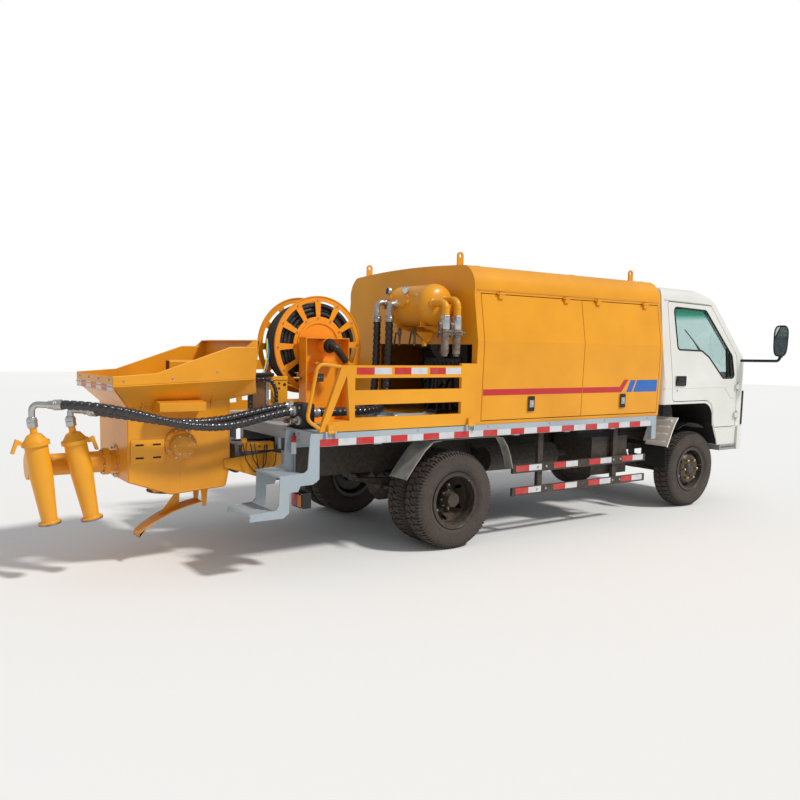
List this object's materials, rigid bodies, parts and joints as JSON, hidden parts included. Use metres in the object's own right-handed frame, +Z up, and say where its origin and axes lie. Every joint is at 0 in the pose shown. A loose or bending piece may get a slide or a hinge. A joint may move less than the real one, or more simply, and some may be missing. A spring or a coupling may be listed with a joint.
{
  "type": "shotcrete truck",
  "caption": "Light cab-over truck with a shotcrete pump: mixing hopper, spray converters, hose reel, air tank and a closed engine canopy on its deck.",
  "frame": {"origin": "on the ground under the middle of the truck's outline", "axes": "+X to the truck's front, +Y to its left, +Z up"},
  "size_m": [7.3761, 2.4984, 2.3609],
  "materials": {
    "yellow_paint": "gloss enamel, yellow",
    "orange_paint": "gloss enamel, warm yellow",
    "cab_white": "gloss enamel, off-white",
    "deck_grey": "satin paint, blue-grey",
    "chassis_black": "satin chassis paint, black",
    "tyre": "black rubber, worn",
    "rim_black": "satin black",
    "glass": "clear, slightly green",
    "bare_steel": "zinc-plated steel, used",
    "cast_grey": "grey casting paint",
    "hose_rubber": "black hose rubber",
    "cab_trim": "dark grey plastic and cloth",
    "black_plastic": "black moulded plastic",
    "lamp_lens": "red lamp lens",
    "head_lens": "clear ribbed lens"
  },
  "bodies": {
    "truck": {"chassis_frame": "chassis_black", "leaf_springs": "chassis_black", "rear_axle": "chassis_black", "front_axle": "chassis_black", "deck": "deck_grey", "mudguards": "cast_grey", "canopy_shell": "yellow_paint", "lifting_eyes": "yellow_paint", "power_pack": "cast_grey", "cab_shell": "cab_white", "windscreen": "glass", "cab_seats": "cab_trim", "dashboard": "cab_trim", "front_bumper": "cab_white", "front_grille": "black_plastic", "headlamps": "head_lens", "cab_steps": "cast_grey", "mirrors": "black_plastic", "rear_steps": "deck_grey", "tail_lamps": "lamp_lens", "side_guards": "deck_grey", "silencer": "chassis_black", "battery_box": "chassis_black", "fuel_tank": "chassis_black", "truck_engine": "cast_grey", "hopper": "yellow_paint", "mixer_drives": "cast_grey", "converter_cones": "yellow_paint", "outlet_manifold": "yellow_paint", "pump_cylinders": "cast_grey", "reel_stand": "orange_paint", "air_tank": "yellow_paint", "tank_couplings": "bare_steel", "hose_fittings": "bare_steel", "air_hoses": "hose_rubber"},
    "knuckle_left": {"knuckle_left": "chassis_black"},
    "knuckle_right": {"knuckle_right": "chassis_black"},
    "front_wheel_left": {"front_tyre_left": "tyre", "front_rim_left": "rim_black"},
    "front_wheel_right": {"front_tyre_right": "tyre", "front_rim_right": "rim_black"},
    "rear_wheels_left": {"rear_tyres_left": "tyre", "rear_rims_left": "rim_black"},
    "rear_wheels_right": {"rear_tyres_right": "tyre", "rear_rims_right": "rim_black"},
    "cab_door_left": {"cab_door_left": "cab_white", "door_glass_left": "glass"},
    "cab_door_right": {"cab_door_right": "cab_white", "door_glass_right": "glass"},
    "canopy_door_right_rear": {"canopy_door_right_rear": "yellow_paint"},
    "canopy_door_right_front": {"canopy_door_right_front": "yellow_paint"},
    "canopy_door_left_rear": {"canopy_door_left_rear": "yellow_paint"},
    "canopy_door_left_front": {"canopy_door_left_front": "yellow_paint"},
    "side_rail_left": {"side_rail_left": "yellow_paint"},
    "side_rail_right": {"side_rail_right": "yellow_paint"},
    "reel": {"reel_drum": "orange_paint", "wound_hose": "hose_rubber"},
    "agitator": {"agitator": "bare_steel"},
    "hopper_grate": {"hopper_grate": "yellow_paint"},
    "cleanout_door": {"cleanout_door": "yellow_paint"}
  },
  "joints": [
    {"name": "steer_left", "type": "hinge", "parent": "truck", "child": "knuckle_left", "pos_m": [2.686, 0.62, 0.3875], "axis": [0, 0, 1], "range_deg": [-30, 30]},
    {"name": "front_wheel_spin_left", "type": "hinge", "parent": "knuckle_left", "child": "front_wheel_left", "pos_m": [2.686, 0.735, 0.3875], "axis": [0, 1, 0], "continuous": true},
    {"name": "rear_wheels_spin_left", "type": "hinge", "parent": "truck", "child": "rear_wheels_left", "pos_m": [-0.576, 0.76, 0.3875], "axis": [0, 1, 0], "continuous": true},
    {"name": "cab_door_left", "type": "hinge", "parent": "truck", "child": "cab_door_left", "pos_m": [3.391, 0.866, 1.08], "axis": [0, 0, -1], "range_deg": [0, 65]},
    {"name": "canopy_door_left_rear", "type": "hinge", "parent": "truck", "child": "canopy_door_left_rear", "pos_m": [0.247, 0.928, 2.024], "axis": [1, 0, 0], "range_deg": [0, 85]},
    {"name": "canopy_door_left_front", "type": "hinge", "parent": "truck", "child": "canopy_door_left_front", "pos_m": [1.356, 0.928, 2.024], "axis": [1, 0, 0], "range_deg": [0, 85]},
    {"name": "side_rail_left", "type": "hinge", "parent": "truck", "child": "side_rail_left", "pos_m": [-1.111, 0.994, 0.984], "axis": [-1, 0, 0], "range_deg": [0, 170]},
    {"name": "steer_right", "type": "hinge", "parent": "truck", "child": "knuckle_right", "pos_m": [2.686, -0.62, 0.3875], "axis": [0, 0, 1], "range_deg": [-30, 30]},
    {"name": "front_wheel_spin_right", "type": "hinge", "parent": "knuckle_right", "child": "front_wheel_right", "pos_m": [2.686, -0.735, 0.3875], "axis": [0, 1, 0], "continuous": true},
    {"name": "rear_wheels_spin_right", "type": "hinge", "parent": "truck", "child": "rear_wheels_right", "pos_m": [-0.576, -0.76, 0.3875], "axis": [0, 1, 0], "continuous": true},
    {"name": "cab_door_right", "type": "hinge", "parent": "truck", "child": "cab_door_right", "pos_m": [3.391, -0.866, 1.08], "axis": [0, 0, 1], "range_deg": [0, 65]},
    {"name": "canopy_door_right_rear", "type": "hinge", "parent": "truck", "child": "canopy_door_right_rear", "pos_m": [0.247, -0.928, 2.024], "axis": [-1, 0, 0], "range_deg": [0, 85]},
    {"name": "canopy_door_right_front", "type": "hinge", "parent": "truck", "child": "canopy_door_right_front", "pos_m": [1.356, -0.928, 2.024], "axis": [-1, 0, 0], "range_deg": [0, 85]},
    {"name": "side_rail_right", "type": "hinge", "parent": "truck", "child": "side_rail_right", "pos_m": [-1.111, -0.994, 0.984], "axis": [1, 0, 0], "range_deg": [0, 170]},
    {"name": "reel_spin", "type": "hinge", "parent": "truck", "child": "reel", "pos_m": [-1.366, 0, 1.585], "axis": [0, 1, 0], "continuous": true},
    {"name": "agitator_spin", "type": "hinge", "parent": "truck", "child": "agitator", "pos_m": [-2.596, 0, 0.88], "axis": [0, 1, 0], "continuous": true},
    {"name": "hopper_grate", "type": "hinge", "parent": "truck", "child": "hopper_grate", "pos_m": [-2.111, 0, 1.281], "axis": [0, 1, 0], "range_deg": [0, 75]},
    {"name": "cleanout_door", "type": "hinge", "parent": "truck", "child": "cleanout_door", "pos_m": [-2.517, 0, 0.505], "axis": [0, -1, 0], "range_deg": [0, 30]}
  ],
  "couplings": [
    {"joint": "steer_right", "follows": "steer_left", "ratio": 1}
  ]
}
